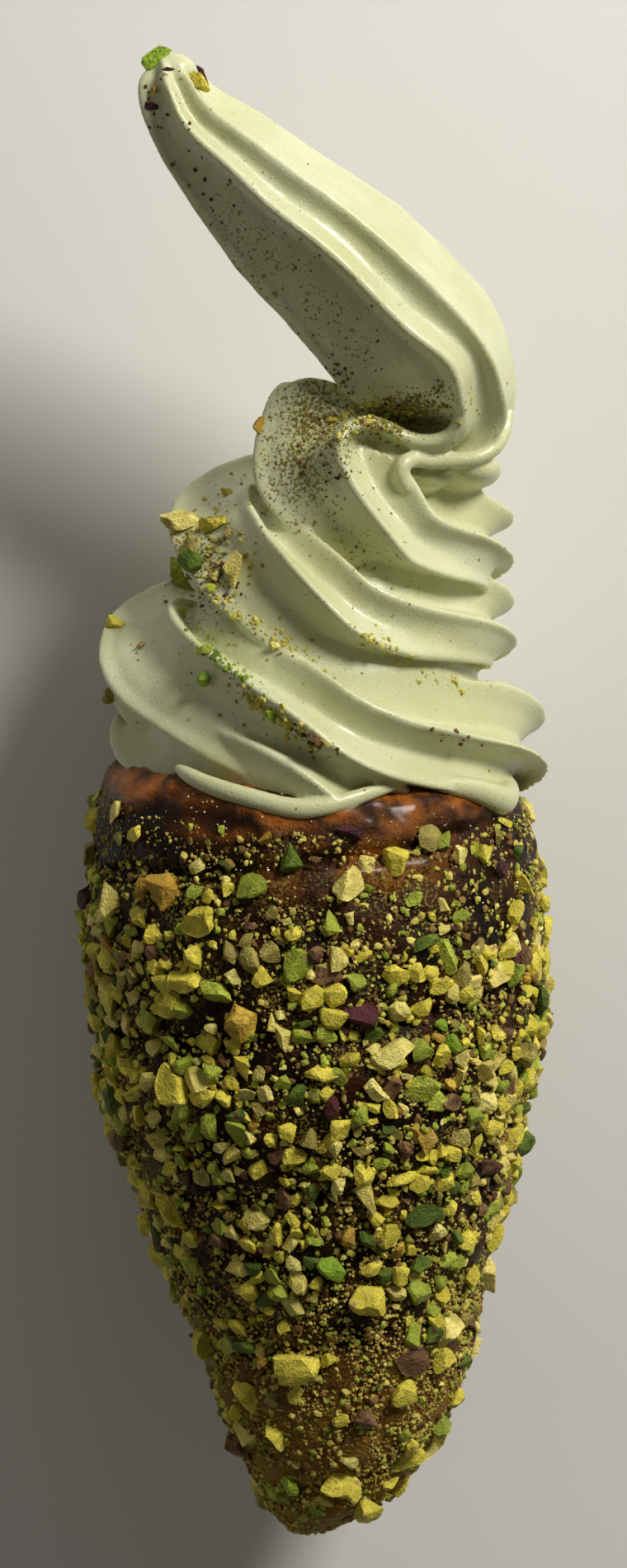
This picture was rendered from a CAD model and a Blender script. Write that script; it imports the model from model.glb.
import math

import bpy
import numpy as np
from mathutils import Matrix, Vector
from mathutils.bvhtree import BVHTree


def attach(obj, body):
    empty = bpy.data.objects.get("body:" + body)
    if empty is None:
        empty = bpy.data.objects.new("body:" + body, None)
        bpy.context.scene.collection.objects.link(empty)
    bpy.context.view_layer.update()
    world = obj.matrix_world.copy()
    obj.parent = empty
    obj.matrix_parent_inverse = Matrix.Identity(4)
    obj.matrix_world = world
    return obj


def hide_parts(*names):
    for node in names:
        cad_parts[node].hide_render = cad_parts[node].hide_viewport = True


bl_info = {
    "name": "Chimney cake cone looks",
    "version": (1, 0, 0),
    "blender": (4, 5, 0),
    "location": "3D View > Sidebar > Cone",
    "description": "Pistachio soft serve in a nut-coated chimney cake cone",
    "category": "Object",
}

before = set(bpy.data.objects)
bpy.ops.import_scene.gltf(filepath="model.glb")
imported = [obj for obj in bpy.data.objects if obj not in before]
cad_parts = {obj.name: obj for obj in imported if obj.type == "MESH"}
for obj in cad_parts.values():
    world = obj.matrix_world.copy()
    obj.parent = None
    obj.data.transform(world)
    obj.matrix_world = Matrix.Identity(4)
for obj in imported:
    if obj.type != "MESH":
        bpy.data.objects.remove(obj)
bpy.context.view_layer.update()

# Sizes are in millimetres of the axis frame: +Y runs up the cone's axis from the mouth, +X to
# the right as seen and +Z towards the eye point.
MM = 0.001
LYING_HEIGHT = 39.5
FRAME_SHIFT = np.array([-0.55, 4.26, LYING_HEIGHT])
EYE_DISTANCE = 791.7
EYE_ELEVATION = math.radians(9)
TO_EYE = np.array([0, math.sin(EYE_ELEVATION), math.cos(EYE_ELEVATION)])
EYE = TO_EYE * EYE_DISTANCE

# Seeded random numbers, as in the solids.
WORD = 0xFFFFFFFF
RANDOM_STEP = 0x6D2B79F5
# Random lumps: number of waves, their sizes as shares of the lumps' size, highest sum.
LUMP_WAVES = 28
LUMP_SIZES = (0.7, 1.6)
LUMP_PEAK = 1.6

# ---- Pastry, as in its solid ----------------------------------------------------------

# From the middle of the mouth's floor over the rim to the tip: radius, height along the
# axis, sideways drift of the middle.
PASTRY_PROFILE = np.array([
    [0, -7.6, 0], [12, -7.6, 0], [22.5, -7.3, 0], [26.4, -5.3, 0], [27.9, -1.8, 0],
    [28.9, 1.2, -0.1], [30.7, 3.2, -0.3], [33, 3.8, -0.3], [35.4, 3, -0.3],
    [37, 1.1, -0.3], [38, -1.8, -0.3], [39.4, -7.6, 0], [41, -22.9, 0.2],
    [41, -38.3, 0.9], [39.3, -53.7, 0.5], [35.3, -69.3, 1.5], [30.5, -84.9, 2],
    [26.2, -100.7, 3.7], [21.2, -116.5, 4.3], [17.2, -124.5, 3.7], [12.3, -132.5, 2.2],
    [8, -137.3, 0.6], [3.9, -140.2, -0.6], [0, -141, -1.2],
])
# Stations where the rim ends and the coated body starts.
RIM_END = 8
BODY_START = 10
# Tilt of the rim, and the heights between which it grows.
RIM_TILT = 0.045
TILTED = (-30, 0)
# Wound dough strip: distance between two seams, height of the first one, swell of the
# strip and its mean, and the heights between which the swell grows at the rim and the tip.
BAND_PITCH = 30.0
BAND_SEAM = -0.5
BAND_BULGE = 1.1
BAND_MEAN = 0.6
BAND_ONSET = (2, -8)
BAND_END = (-138, -120)
WIDEST = 41.0
# Finer mesh of the pastry: first and last station and count of rings in each stretch, and
# points round each ring.
PASTRY_RINGS = [(0.02, 3, 12), (3.1, 11, 70), (11.06, 18, 170), (18.1, 22.98, 44)]
PASTRY_COLUMNS = 200
SEAM_WIDTH = 1.3
SMALLEST_RADIUS = 0.01
# Lumps of the crust: size, seed, share of their full height.
CRUST_LUMPS = [(9, 11, 1.0), (3.5, 12, 0.5), (1.6, 13, 0.3)]
# Glossy caramel patches on the front of the pastry: x, y, reach to the side, reach along
# the axis, amount.
CARAMEL_PATCHES = [(8, -8.5, 14, 4.5, 0.9), (22, -4.5, 6, 1.5, 0.6), (-16, -3, 7, 1.5, 0.6)]
# Nearly bare crust at the front: x, y, reach to the side, reach along the axis.
BARE_CRUST = (6, -10, 15, 6)

# ---- Soft serve, as in its solid ------------------------------------------------------

# Rope from the mouth to the swirl's tip: x, y, z, radius, turn of all ridges, turn of the
# right-hand ridge, depth of the left-hand flute, uprightness.
ROPE = np.array([
    [25, -5, 0, 9.9, 0, 0, 1, 0],
    [1.5, 4.6, 26.3, 11.4, 0, 0, 1, 0],
    [-25.8, 7.3, 0, 11.4, 0, 0, 1, 0],
    [1.5, 8.5, -25.5, 11.4, 0, 0, 1, 0],
    [32.2, 7.6, 0, 11.8, 2, 0, 1, 0],
    [2.2, 12.8, 25.5, 13.2, 0, 0, 1, 0],
    [-26.4, 22.7, 0, 12.9, 0, 0, 0.8, 0],
    [0.8, 28, -24.8, 12.3, 0, 0, 1, 0],
    [28.4, 29.8, 0, 9.4, 2, 0, 1, 0],
    [4.4, 33.3, 20.2, 11.7, 0, 0, 1, 0],
    [-15.2, 45.9, 0, 11.4, 0, 0, 0.8, 0],
    [6.1, 49.5, -17.2, 11.1, 0, 0, 1, 0],
    [26.8, 45.2, 0, 10.6, 0, 0, 1, 0],
    [14.6, 46.7, 12.8, 11.4, 0, 0, 1, 0.15],
    [3.8, 57.9, 9.6, 15, 0, -4, 0.6, 0.58],
    [11.7, 62.9, 6.8, 13.2, 0, -4, 0.6, 0.5],
    [25.2, 66.8, 7.8, 12.3, 0, -8, 1, 0.55],
    [20.1, 79, 12, 16.3, 0, -16, 0.45, 0],
    [6.5, 93.8, 15.8, 15.6, 0, -18, 0.4, 0],
    [-8.6, 107.4, 18, 12.6, 0, -18, 0.4, 0],
    [-19.6, 118.4, 19.5, 8.7, 0, -15, 0.45, 0],
    [-24.5, 125.4, 20.2, 6.3, 0, -10, 0.6, 0],
    [-25.6, 128.9, 20.6, 3.6, 0, 0, 1, 0],
])
RIDGES = np.array([33.0, 90.0, 143.0, 197.0, 273.0, 322.0])
LEFT_FLUTE = 3
FRONT_RIDGE = 4
RIGHT_RIDGE = 5
RIGHT_FLUTE = 5
RIGHT_FLUTE_DEPTH = 1.3
FLUTE_DEPTH = 0.46
# A flute that spans this many degrees has its full depth, a narrower one less.
FULL_FLUTE = 60
SHALLOWEST = 0.6
# Turn of the front ridge where a coil rounds the left-hand side: station, width, degrees.
FRONT_TURNS = [(5.9, 0.5, 14), (9.9, 0.55, 24)]
# Shoulder where the rope turns up into the fold: station, width, growth as a share of the
# radius, degrees to both sides of the left-hand flute.
SHOULDER_STATION = 14.95
SHOULDER_WIDTH = 0.5
SHOULDER_GROW = 0.52
SHOULDER_SPREAD = 30.0
# The coils go round this x, end at this station, and are flatter on their inner side.
COILS_MIDDLE = 4.0
COILS_END = 13.0
INNER_FLAT = 0.15
# Fillings of the mouth and of the coils' middle: radius, height, sideways drift.
PLUG = [(30.0, -7.2, 0), (30.0, 8.0, 0)]
CORE = [(24, -2, 1), (28, 14, 2), (27.5, 24, 2), (25, 31, 1), (18, 38, 4), (14, 48, 6), (9, 56, 8)]

# ---- Soft serve, finer than its solid -------------------------------------------------

# Steps along the rope between two stations, and across each flute.
ROPE_STEPS = 60
FLUTE_STEPS = 30
# Each ridge ends in a rounded bead: half width, height, its largest share of the radius and
# the steepness of its sides. The flute between two beads is a hollow: share of the depth
# and flatness of its sides.
BEAD_WIDTH = 1.5
BEAD_HEIGHT = 1.7
BEAD_LIMIT = 0.25
BEAD_STEEPNESS = 3
HOLLOW_SHARE = 0.72
HOLLOW_POWER = 1.35
# Where the coils round the right-hand side the beads narrow to this share and the hollows
# start steeper, which gives pointed fins: share, power, from where to where along x.
RIGHT_BEAD = 0.75
RIGHT_POWER = 0.9
RIGHT_SIDE = (16, 27)
# Flutes made shallower where two coils press together: flute, station, width, share.
FLUTE_FILLS = [
    (3, 1.0, 0.6, 0.6), (4, 6.15, 0.45, 0.85), (4, 10.1, 0.4, 0.6),
    (0, 4.2, 0.6, 0.7), (4, 8.2, 0.6, 0.7), (0, 8.2, 0.6, 0.5), (4, 12.2, 0.6, 0.5),
    (4, 18.6, 2.2, 0.4), (5, 18.6, 2.2, 0.3),
]
# Blunt end of the rope: share of the last radius, distance past the last station.
ROPE_NOSE = [(0.97, 0.3), (0.9, 0.7), (0.78, 1.1), (0.6, 1.45), (0.35, 1.7)]
# Unevenness of the swirl: size of the lumps, seed, height.
SWIRL_LUMPS = [(14, 5, 0.22), (5, 6, 0.06)]
# Small shifts of the fold as seen: x, y, reach, shift to the right, shift up, depth from
# which the shift starts. It has grown to its full size so much further towards the eye.
NUDGES = [
    (22.5, 76, 7, 3.0, 0, -2), (20.3, 62.9, 5, 1.2, -1.6, -2), (9.8, 61.4, 5.5, 0, 3.2, -2),
    (5.3, 59.4, 5, 0, 1.2, -2), (-7.2, 104.8, 10, -1.4, 0, -2), (37, 57, 5, -7.0, 1.0, -22),
    (-18.5, 118, 9, -2.3, 0, 12),
]
NUDGE_ONSET = 10
# Beads of the fold where it curls round and turns down into the coil below: x, y, z, radius.
UPPER_BEAD = np.array([
    [26.1, 70.7, 22.3, 0.9], [25.7, 68.4, 21.6, 1.2], [24.7, 66.0, 20.4, 1.3],
    [22.7, 64.3, 19.4, 1.4], [19.3, 63.7, 19.0, 1.4], [16.0, 64.5, 19.0, 1.4],
    [13.4, 66.0, 19.5, 1.3], [10.8, 67.0, 20.2, 1.3], [8.1, 67.0, 21.2, 1.3],
    [5.8, 66.0, 22.2, 1.3], [4.6, 64.3, 23.3, 1.2], [4.6, 61.9, 24.0, 0.9],
])
LOWER_BEAD = np.array([
    [34.8, 69.0, 12.2, 0.6], [34.0, 65.2, 13.2, 1.0], [32.0, 62.3, 15.0, 1.3],
    [28.8, 60.8, 16.4, 1.4], [25.4, 60.3, 16.8, 1.5], [21.0, 60.2, 17.2, 1.5],
    [17.8, 60.6, 18.6, 1.5], [16.1, 60.2, 19.9, 1.5], [15.4, 59.0, 20.5, 1.4],
    [15.6, 57.2, 20.4, 1.2], [16.5, 55.4, 20.0, 0.9],
])
# Fillings of the blunt tip and under the fold: middle and reach along x, y and z.
FILLINGS = [
    ((-24.2, 128.0, 20.4), (3.9, 2.9, 3.0)),
    ((27.0, 57.6, 6.5), (6.5, 3.6, 7.0)),
    ((20.0, 57.8, 11.5), (5.0, 3.6, 4.5)),
    ((14.0, 60.6, 14.2), (5.0, 4.2, 3.6)),
    ((28.0, 58.6, 9.5), (5.0, 3.4, 6.8)),
]
# Thin lips of soft serve that roll over the rim: degrees round from the front (left is
# negative), distance from the axis, height, radius. They are a little higher than wide.
LEFT_LIP = np.array([
    [-46, 33.6, 6.6, 0.7], [-40, 34.6, 5.9, 1.3], [-31, 35.6, 4.7, 1.5], [-18, 36.4, 3.1, 1.6],
    [-5, 37.0, 1.6, 1.6], [5, 36.6, 2.1, 1.5], [16, 35.2, 3.7, 1.2], [26, 33.8, 4.6, 0.6],
])
RIGHT_LIP = np.array([
    [34, 33.0, 4.6, 0.7], [42, 34.4, 3.9, 1.4], [50, 35.9, 2.8, 1.9], [58, 37.0, 1.0, 2.3],
    [65, 37.2, -0.2, 2.5], [72, 36.6, 0.5, 2.2], [79, 35.0, 1.6, 1.4], [84, 33.5, 2.4, 0.7],
])
LIP_TALLNESS = 1.15
# Steps between two rows and sides of the lips and beads, sides and fineness of fillings.
LIP_STEPS = 14
LIP_SIDES = 20
TUBE_STEPS = 10
TUBE_SIDES = 16
DRUM_SIDES = 64
FILLING_LEVEL = 3
# How strongly each round eases the melted surface, and the share of its triangles that stays.
SWIRL_EASE = 0.5
SWIRL_THINNING = 0.35

# ---- Chopped pistachio ----------------------------------------------------------------

# Nuts that the pastry's solid has too, placed by the same seeded rule: their number, the
# largest and smallest length and the power between them, tries for a place, how far a nut
# stands out and how far apart two are as shares of their lengths, and how near they get to
# the mouth, the tip and the floor.
NUT_SEED = 20417
NUT_COUNT = 318
NUT_LARGEST = 8.2
NUT_SMALLEST = 3.5
NUT_SPREAD = 2.2
NUT_TRIES = 40
NUT_SINK = 0.06
NUT_SPACING = 0.4
NUT_TOP = -1.0
NUT_REACH = 0.6
NUT_BOTTOM = -136.0
NUT_CLEARANCE = 2.2
NUT_TIP_STATIONS = 1.6

# Chips: how many different shapes, half length, half width and half thickness as shares of
# the length, how far these vary, and how far a chip leans.
CHIP_SHAPES = 24
LAID_SHAPES = 12
CHIP_FLATNESS = (0.52, 0.43, 0.36)
CHIP_STRETCH = (0.85, 1.15)
CHIP_LEAN = 0.45
# Fineness of a chip and number of knife cuts.
LARGE_CHIP = (2, 9)
SMALL_CHIP = (1, 6)
CRUMB_CHIP = (0, 2)
LAID_CHIP = (2, 8)
# Lumps and fine roughness of a chip before it is sized, and where a knife goes through.
CHIP_WAVES = 12
CHIP_LUMP_SIZE = 1.3
CHIP_LUMP_HEIGHT = 0.2
CHIP_GRAIN_SIZE = 0.45
CHIP_ROUGHNESS = 0.035
CHIP_CUT = (0.28, 0.7)
CHIP_SEED_STEP = 100
GRAIN_SEED_SHIFT = 50
# Laid chips turn this much towards the eye and step through the shades of their kind.
TURN_TO_EYE = 0.8
SHADE_START = 0.3
SHADE_STEP = 0.37
# Grains have eight sides: corners, faces, how far a corner reaches out, how far they lean.
GRAIN_CORNERS = np.array(
    [[1, 0, 0], [-1, 0, 0], [0, 1, 0], [0, -1, 0], [0, 0, 1], [0, 0, -1]], float)
GRAIN_FACES = np.array([
    [0, 2, 4], [2, 1, 4], [1, 3, 4], [3, 0, 4], [2, 0, 5], [1, 2, 5], [3, 1, 5], [0, 3, 5]])
GRAIN_REACH = (0.3, 0.55)
GRAIN_LEAN = 0.6
# A direction this near to Z is turned to from X instead.
FACING_Z = 0.9
# Nothing gets closer to the floor than this.
CHIP_GAP = 0.05
GRAIN_GAP = 0.03
# Stations of the pastry's coated outside, and how many places are tried for each one kept.
COATED = (BODY_START + 0.2, 22.6)
SPARE_TRIES = 4

# How thick a coating lies: a place is kept when its random thickness is above this level.
# The level changes along the axis: from where, to where, amount.
COATING_LEVEL = -0.5
# Random patches: share, size, seed, share of plain noise. Sizes: shortest, range, power.
SMALL_SIZES = (1.8, 3.6, 2)
SMALL_PATCHES = (1, 17, 32, 0.45)
SMALL_SPACING = 0.285
SMALL_SINK = NUT_SINK + 0.02
SMALL_TOP = -1.5
SMALL_CLEARANCE = 1.0
RIM_THINNING = (-24, -6, 2.2)
TIP_THINNING = (-66, -112, 1.7)
BARE_THINNING = 1.6
CRUMB_SIZES = (0.7, 1.2, 1.8)
CRUMB_PATCHES = (1.2, 16, 51, 0.4)
CRUMB_STAND = 0.1
CRUMB_CLEARANCE = 0.6
CRUMB_RIM = (-10, -2, 0.5)
CRUMB_BARE = 0.7
POWDER_SIZES = (0.45, 0.75, 1.5)
POWDER_PATCHES = (1.2, 11, 71, 0.4)
GRAIN_CLEARANCE = 0.4
# Crumbs and powder lie thicker towards the tip.
FINE_TIP = (-60, -100, 1.2)
# More powder near the tip and sugar near the rim: stations, where it starts, sizes.
FOOT_STRETCH = (15.2, 22.7)
FOOT_RISE = (-72, -104)
FOOT_SIZES = (0.5, 1.3)
SUGAR_STRETCH = (7.0, 12.5)
SUGAR_LOWEST = -20
SUGAR_SIZES = (0.25, 0.55)

# Seeds of the draws, of the places and of the chips.
COATING_SEED = 77
SMALL_NUT_SEED = 31
CHIP_SEED = 900
KIND_SEED_STEP = 10
SKIN_BIT_SEED = 950
CRUMB_SEED = 91
CRUMB_PLACE_SEED = 41
CRUMB_CHIP_SEED = 300
POWDER_PLACE_SEED = 61
POWDER_SEED = 62
FOOT_PLACE_SEED = 67
FOOT_SEED = 68
SUGAR_PLACE_SEED = 65
SUGAR_SEED = 66
SWIRL_BIT_SEED = 700
DRIFT_SEED = 123
DUST_SEED = 500

BEIGE = (0.42, 0.27, 0.12)
SKIN = (0.085, 0.022, 0.022)
# Kinds of nut: lighter colour, deeper colour, colour of the skin, how rare the skin is.
KINDS = {
    "nut_yellow": ((0.96, 0.81, 0.11), (0.73, 0.62, 0.05), BEIGE, 0.66),
    "nut_cream": ((0.98, 0.87, 0.29), (0.84, 0.68, 0.13), SKIN, 0.7),
    "nut_green": ((0.56, 0.62, 0.07), (0.32, 0.40, 0.03), BEIGE, 0.64),
    "nut_dark_green": ((0.17, 0.24, 0.02), (0.07, 0.12, 0.010), SKIN, 0.64),
    "nut_brown": ((0.36, 0.21, 0.08), (0.13, 0.055, 0.025), SKIN, 0.6),
    "nut_olive": ((0.56, 0.47, 0.11), (0.28, 0.22, 0.04), BEIGE, 0.6),
    "nut_bright": ((0.44, 0.62, 0.045), (0.26, 0.42, 0.025), BEIGE, 0.74),
    "nut_amber": ((0.74, 0.50, 0.06), (0.50, 0.28, 0.03), BEIGE, 0.7),
    "nut_skin": ((0.13, 0.022, 0.03), (0.045, 0.010, 0.012), (0.02, 0.006, 0.005), 0.6),
}
KIND_SHARES = (0.37, 0.23, 0.15, 0.07, 0.05, 0.09, 0.01, 0.02, 0.01)
# Crumbs on the pastry: name, lighter and deeper colour.
CRUMBS = (
    ("crumb_gold", (0.80, 0.68, 0.16), (0.42, 0.33, 0.06)),
    ("crumb_green", (0.46, 0.50, 0.07), (0.20, 0.24, 0.022)),
    ("crumb_brown", (0.30, 0.17, 0.05), (0.10, 0.04, 0.014)),
)
POWDER_COLOURS = ((0.60, 0.48, 0.12), (0.17, 0.125, 0.026))
FOOT_POWDER_COLOURS = ((0.66, 0.50, 0.10), (0.28, 0.20, 0.036))
SUGAR_COLOUR = (0.80, 0.70, 0.52, 1)

# Larger bits on the soft serve, seen from the eye point on the plane of the axis:
# x, y, length, width, height, turn in degrees, share that stands out, kind.
SWIRL_BITS = [
    (-22.8, 47.6, 8.6, 5.0, 4.4, -6, 0.14, "nut_cream"),
    (-17.4, 46.9, 5.6, 3.6, 3.0, 20, 0.16, "nut_yellow"),
    (-15.0, 45.6, 2.4, 1.8, 1.6, 60, 0.2, "nut_olive"),
    (-22.4, 42.9, 5.2, 4.4, 3.4, -40, 0.14, "nut_olive"),
    (-24.4, 37.6, 9.2, 4.2, 3.6, -52, 0.12, "nut_green"),
    (-21.3, 39.0, 6.2, 4.4, 4.0, -60, 0.3, "nut_dark_green"),
    (-13.8, 39.0, 7.6, 4.2, 3.0, 82, 0.16, "nut_cream"),
    (-17.6, 37.9, 3.0, 2.6, 1.8, 30, 0.16, "nut_olive"),
    (-18.4, 35.6, 2.2, 1.8, 1.6, 0, 0.2, "nut_green"),
    (-36.2, 29.2, 4.8, 3.8, 3.0, 20, 0.1, "nut_yellow"),
    (-37.0, 16.5, 4.2, 2.4, 2.2, 80, 0.05, "nut_olive"),
    (-18.9, 19.6, 3.8, 2.9, 2.2, 70, 0.2, "nut_bright"),
    (-19.3, 24.4, 4.4, 2.6, 1.6, 20, 0.16, "nut_green"),
    (-17.6, 23.2, 2.4, 1.6, 1.4, 70, 0.2, "nut_dark_green"),
    (-24.2, 30.9, 3.0, 1.6, 1.4, -40, 0.2, "nut_green"),
    (-31.0, 25.2, 1.8, 1.4, 1.0, 0, 0.2, "nut_olive"),
    (-6.9, 25.2, 2.6, 1.8, 1.4, -30, 0.2, "nut_cream"),
    (-15.9, 52.6, 2.8, 1.9, 1.4, 0, 0.2, "nut_yellow"),
    (-11.2, 65.0, 4.2, 2.4, 2.4, 80, 0.1, "nut_amber"),
    (0.6, 8.7, 3.6, 1.8, 1.4, -35, 0.2, "nut_brown"),
    (2.4, 7.6, 2.2, 1.4, 1.2, 10, 0.2, "nut_cream"),
    (-7.2, 13.1, 2.6, 1.6, 1.4, -40, 0.2, "nut_bright"),
    (-9.8, 15.0, 1.9, 1.2, 1.2, 10, 0.2, "nut_yellow"),
    (-4.6, 11.3, 2.0, 1.3, 1.2, -20, 0.2, "nut_yellow"),
    (13.0, 67.0, 2.6, 1.5, 1.2, 60, 0.2, "nut_green"),
    (3.4, 65.9, 2.4, 1.2, 1.2, 10, 0.2, "nut_yellow"),
    (10.5, 66.4, 2.2, 1.5, 1.2, 30, 0.2, "nut_olive"),
    (16.4, 66.8, 1.9, 1.4, 1.2, 0, 0.2, "nut_olive"),
]
# Bits at the swirl's tip: x, y, z, length, width, height, turn in degrees, kind.
TIP_BITS = [
    (-27.6, 130.2, 21.3, 6.4, 4.4, 4.2, 35, "nut_bright"),
    (-20.1, 125.9, 24.6, 5.4, 3.6, 2.8, -55, "nut_yellow"),
    (-18.9, 127.0, 22.4, 4.4, 1.2, 0.6, -65, "nut_skin"),
    (-25.0, 128.0, 25.4, 2.6, 0.9, 0.6, -10, "nut_skin"),
    (-28.3, 122.2, 22.6, 4.6, 2.0, 1.6, -18, "nut_skin"),
    (-27.4, 124.6, 23.6, 1.8, 1.2, 1.0, 60, "nut_amber"),
]
# Bits of skin on the pastry, in the same way as on the swirl.
SKIN_BITS = [
    (7.0, -8.7, 6.2, 3.3, 1.6, -8, 0.2, "nut_skin"),
    (33.6, -15.6, 3.6, 3.2, 2.0, 0, 0.2, "nut_skin"),
    (2.2, -34.5, 6.0, 4.6, 2.4, 25, 0.15, "nut_brown"),
    (36.6, -33.4, 4.4, 2.6, 1.6, 60, 0.15, "nut_skin"),
]
# A look that misses the surface is tried again so far to the right, so many times.
LOOK_STEP = 0.5
LOOKS = 16
# Stains of the finest dust on the swirl: x and y of the middle, reach along and across,
# turn in degrees, amount.
DUST_STAINS = [
    (15, 67, 7.5, 3.6, 12, 1.0),
    (0, 66.5, 6, 7, 30, 0.95),
    (-3, 57, 7, 9, 0, 0.85),
    (-12, 98, 15, 8, -50, 0.4),
    (3, 85, 14, 5, -42, 0.35),
    (-21, 42, 7, 6, 0, 0.7),
    (-19, 30, 5, 5, 0, 0.5),
    (-8, 15, 14, 3, -38, 0.3),
    (8, 44, 10, 5, -40, 0.3),
    (24, 9, 8, 3, 0, 0.2),
]
# Drifts of crumbs and dust on the swirl: x and y of the middle, spread along x and y,
# turn in degrees, number, shortest, longest, kind.
DUST_DRIFTS = [
    (15.5, 67.3, 5.0, 1.7, 12, 760, 0.2, 0.9, "dust_olive"),
    (13, 67.2, 4.0, 1.2, 12, 90, 0.25, 0.9, "dust_brown"),
    (12, 67.4, 5, 1.6, 12, 60, 0.4, 1.4, "dust_gold"),
    (0.5, 66.0, 3.8, 4.4, 20, 620, 0.15, 0.6, "dust_olive"),
    (-3, 58, 5, 6, 0, 260, 0.15, 0.6, "dust_olive"),
    (3, 64, 3.5, 3.5, 0, 160, 0.2, 0.7, "dust_brown"),
    (0, 64, 5, 7, 0, 40, 0.3, 1.0, "dust_brown"),
    (4, 74, 4, 3, 0, 60, 0.3, 0.9, "dust_brown"),
    (-13, 99, 11, 4, -50, 28, 0.4, 1.1, "dust_brown"),
    (-13, 99, 12, 5, -50, 80, 0.2, 0.8, "dust_olive"),
    (2, 84, 12, 4, -42, 60, 0.2, 0.8, "dust_olive"),
    (-27, 121, 3, 4, 0, 30, 0.3, 1.0, "dust_brown"),
    (-21, 42, 4, 4, 0, 220, 0.3, 1.2, "dust_olive"),
    (-18, 47, 4, 2.5, 0, 60, 0.3, 1.2, "dust_gold"),
    (-17.6, 37.6, 2.2, 2.2, 0, 90, 0.3, 1.1, "dust_brown"),
    (-16, 22, 4.5, 0.8, -42, 70, 0.3, 1.4, "dust_green"),
    (-8, 13.4, 5, 0.8, -38, 120, 0.3, 1.5, "dust_gold"),
    (0, 8, 3, 0.8, -30, 50, 0.3, 1.3, "dust_brown"),
    (-14, 31, 3, 0.8, -30, 50, 0.3, 1.2, "dust_gold"),
    (-5, 26, 5, 0.7, -35, 50, 0.3, 1.2, "dust_gold"),
    (12, 26, 3, 0.7, -25, 40, 0.3, 1.3, "dust_gold"),
    (24, 18.8, 4, 0.7, -12, 30, 0.3, 1.2, "dust_gold"),
    (28, 7.6, 3, 1.5, -25, 8, 0.6, 1.2, "dust_brown"),
    (-20, 24, 12, 8, 0, 60, 0.25, 0.8, "dust_olive"),
    (8, 42, 8, 3, -40, 50, 0.25, 0.8, "dust_olive"),
    (0, 40, 30, 40, 0, 220, 0.2, 0.6, "dust_olive"),
]
# Lighter and deeper colour of each kind of dust.
DUST_COLOURS = {
    "dust_olive": ((0.48, 0.41, 0.07), (0.20, 0.155, 0.025)),
    "dust_brown": ((0.22, 0.12, 0.035), (0.06, 0.026, 0.009)),
    "dust_gold": ((0.74, 0.62, 0.14), (0.44, 0.40, 0.06)),
    "dust_green": ((0.34, 0.46, 0.04), (0.12, 0.20, 0.02)),
}
# Dust stays on surfaces that face up at least this much, and its crumbs stand out so far.
DUST_FACING = 0.25
DUST_STAND = 0.08

# ---- Looks ----------------------------------------------------------------------------

# Mottlings: scale, detail, and from where to where of the noise the mask rises.
CREAM_TONES = (55, 3, 0.35, 0.68)
CREAM_GRAIN = (2400, 2, 0.62, 0.72)
DUST_SPECKS = (1500, 5, 0.0, 1.0)
CRUST_BROWNING = (90, 5, 0.4, 0.68)
RIM_BROWNING = (170, 4, 0.36, 0.62)
RIM_UNEVENNESS = (75, 4, 0.3, 0.7)
CRUST_DUST = (1700, 5, 0.5, 0.58)
DUST_PATCHES = (75, 4, 0.45, 0.66)
NUT_TONES = (330, 3, 0.42, 0.66)
NUT_GRAIN = (2300, 4, 0.47, 0.56)
SKIN_FLECKS = (420, 3)
SKIN_EDGE = 0.06
# How much darker the grain of the cream, the deeper tone and the powder of a nut are.
GRAIN_DARKNESS = 0.9
NUT_DARKNESS = 0.62
POWDER_DULLNESS = 0.7
# How much the stored dust adds to the noise, and from where to where of the sum it covers.
DUST_AMOUNT = 0.28
DUST_COVER = (0.64, 0.80)
# Heights in metres between which the rim turns orange, the crust turns lighter at the foot
# and its dust begins, and how far the rim's edge sways.
ORANGE_RIM = (0.0105, 0.0175)
RIM_SWAY = 0.02
CRUST_FOOT = (-0.085, -0.124)
DUST_ONSET = (0.004, -0.016)
CARAMEL_GLOSS = 0.3
CRUST_ROUGHNESS = 0.33
DUST_ROUGHNESS = 0.9

# ---- Stage ----------------------------------------------------------------------------

# Half width of the floor and how far it lies below the part.
FLOOR_HALF = 4000.0
FLOOR_GAP = 0.1
# Lights: name, place from the pastry's mouth, size in metres, which setting gives the
# power, colour.
LIGHTS = (
    ("key_light", (520, 640, 540), 0.3, "key", (1, 0.975, 0.93)),
    ("fill_light", (-650, -100, 520), 0.6, "fill", (1, 0.97, 0.86)),
    ("top_light", (60, 750, 260), 0.35, "fill", (1, 1, 1)),
)
ROOM_COLOUR = (1.0, 0.97, 0.86, 1)
ROOM_STRENGTH = 0.08
# Camera: focal length and sensor in millimetres, nearest and farthest distance in metres.
LENS = 100
SENSOR_WIDTH = 36
CLIP_RANGE = (0.05, 20)


# ---- Numbers --------------------------------------------------------------------------

def seeded(seed):
    """Seeded random numbers between 0 and 1, the same ones as in the solids."""
    state = seed & WORD

    def draw():
        nonlocal state
        state = (state + RANDOM_STEP) & WORD
        t = ((state ^ (state >> 15)) * (1 | state)) & WORD
        mixed = ((t ^ (t >> 7)) * (61 | t)) & WORD
        t = ((t + mixed) & WORD) ^ t
        return ((t ^ (t >> 14)) & WORD) / (WORD + 1)

    return draw


def along(table, t):
    """Smooth curve through the rows of a table: values and slopes at stations t."""
    t = np.atleast_1d(np.asarray(t, float))
    last = len(table) - 1
    padded = np.vstack([2 * table[0] - table[1], table, 2 * table[-1] - table[-2]])
    i = np.clip(np.floor(t).astype(int), 0, last - 1)
    u = (t - i)[:, None]
    a, b, c, d = padded[i], padded[i + 1], padded[i + 2], padded[i + 3]
    square = 2 * a - 5 * b + 4 * c - d
    cube = 3 * b - a - 3 * c + d
    value = 0.5 * (2 * b + (c - a) * u + square * u * u + cube * u * u * u)
    slope = 0.5 * (c - a + 2 * square * u + 3 * cube * u * u)
    return value, slope


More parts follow.
